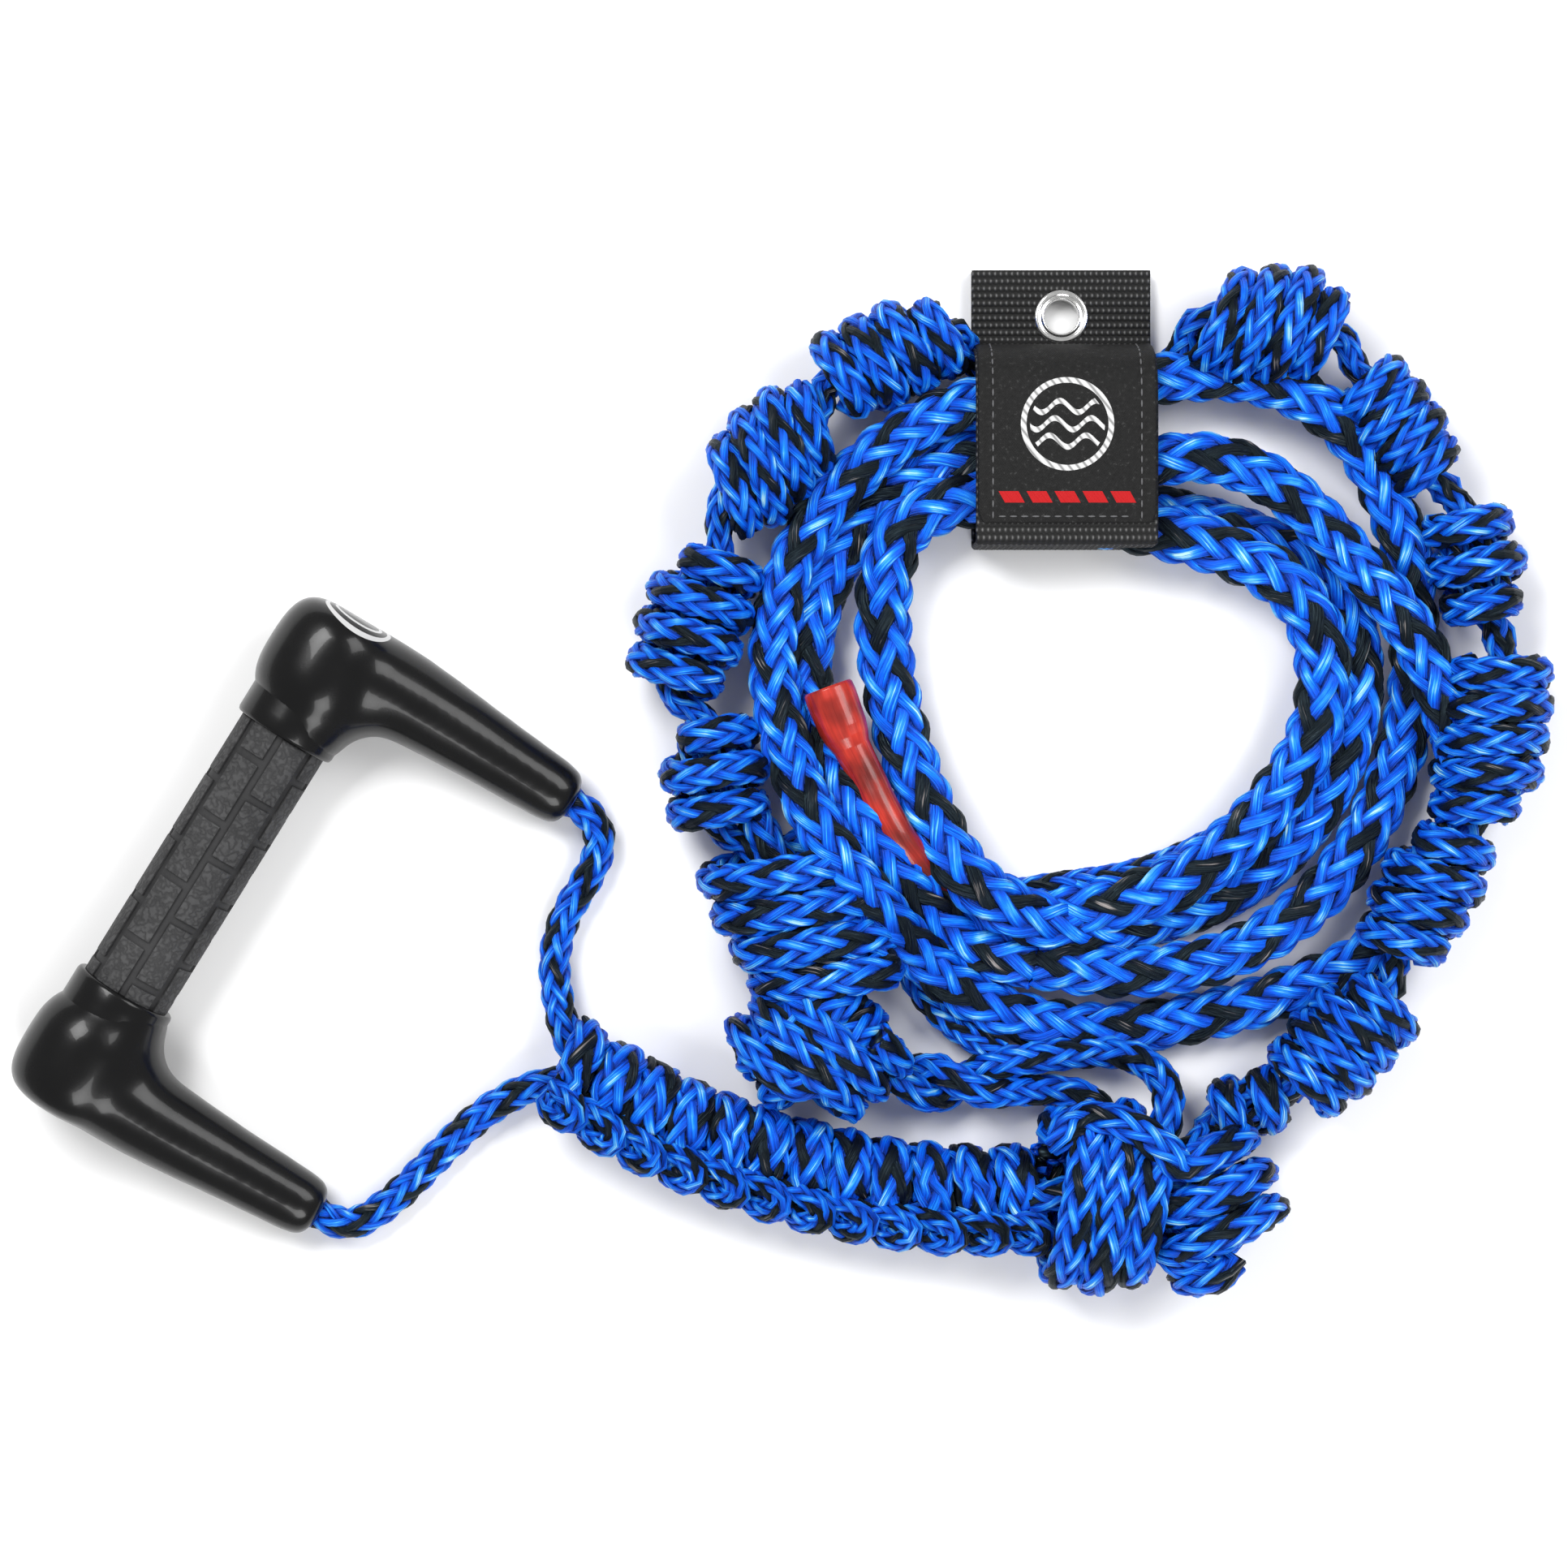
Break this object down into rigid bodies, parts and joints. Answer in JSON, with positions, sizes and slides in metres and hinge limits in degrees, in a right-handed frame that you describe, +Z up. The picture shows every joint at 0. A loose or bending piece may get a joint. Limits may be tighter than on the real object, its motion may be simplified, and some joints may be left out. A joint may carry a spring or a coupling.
{
  "type": "tow rope handle",
  "caption": "Tow handle with a rubber grip and moulded end caps on a rope bridle, with a woven section, a knotted rope and a coiled main line held by a webbing strap.",
  "frame": {"origin": "on the ground, under the middle of the rigid handle's box", "axes": "+Y along the grip, +X from the grip towards the rope, +Z up"},
  "size_m": [0.3335, 0.3913, 0.038],
  "materials": {
    "rope": "glossy braided filament, blue with black tracers",
    "cap_vinyl": "glossy moulded vinyl",
    "grip_rubber": "matt, raised blocks",
    "tube": "satin drawn tube",
    "bushing": "moulded",
    "webbing": "ribbed woven webbing",
    "hook_loop": "hook and loop pile",
    "label": "satin woven label",
    "thread": "sewing thread",
    "eyelet": "nickel plated",
    "sleeve": "glossy, slightly clear"
  },
  "bodies": {
    "root": {"ball_knot": "rope", "big_knot": "rope", "bridle_leg_lower": "rope", "bridle_leg_upper": "rope", "bridle_rope_inside": "rope", "chain_knot_01": "rope", "chain_knot_02": "rope", "chain_knot_03": "rope", "chain_knot_04": "rope", "chain_knot_05": "rope", "chain_knot_06": "rope", "chain_knot_07": "rope", "chain_knot_08": "rope", "chain_knot_09": "rope", "chain_knot_10": "rope", "chain_knot_11": "rope", "chain_span_02": "rope", "chain_span_03": "rope", "chain_span_04": "rope", "chain_span_05": "rope", "chain_span_06": "rope", "chain_span_08": "rope", "chain_span_09": "rope", "chain_span_10": "rope", "end_cap_lower": "cap_vinyl", "end_cap_upper": "cap_vinyl", "grip_tube": "tube", "hook_pad": "hook_loop", "lead_lower": "rope", "lead_thin": "rope", "lead_upper": "rope", "mainline_coil": "rope", "rope_end_sleeve": "sleeve", "rubber_grip": "grip_rubber", "stopper_knot": "rope", "strap_back": "webbing", "tube_bushing_lower": "bushing", "tube_bushing_upper": "bushing", "twisted_lead": "rope", "woven_section": "rope"},
    "strap_flap": {"strap_front": "webbing", "loop_pad": "hook_loop", "label_patch": "label", "label_stitching": "thread", "eyelet": "eyelet", "eyelet_washer": "eyelet"}
  },
  "joints": [
    {"name": "strap_peel", "type": "hinge", "parent": "root", "child": "strap_flap", "pos_m": [0.12782, 0.20273, 0.02585], "axis": [0.8504, 0.5262, 0], "range_deg": [0, 120]}
  ]
}
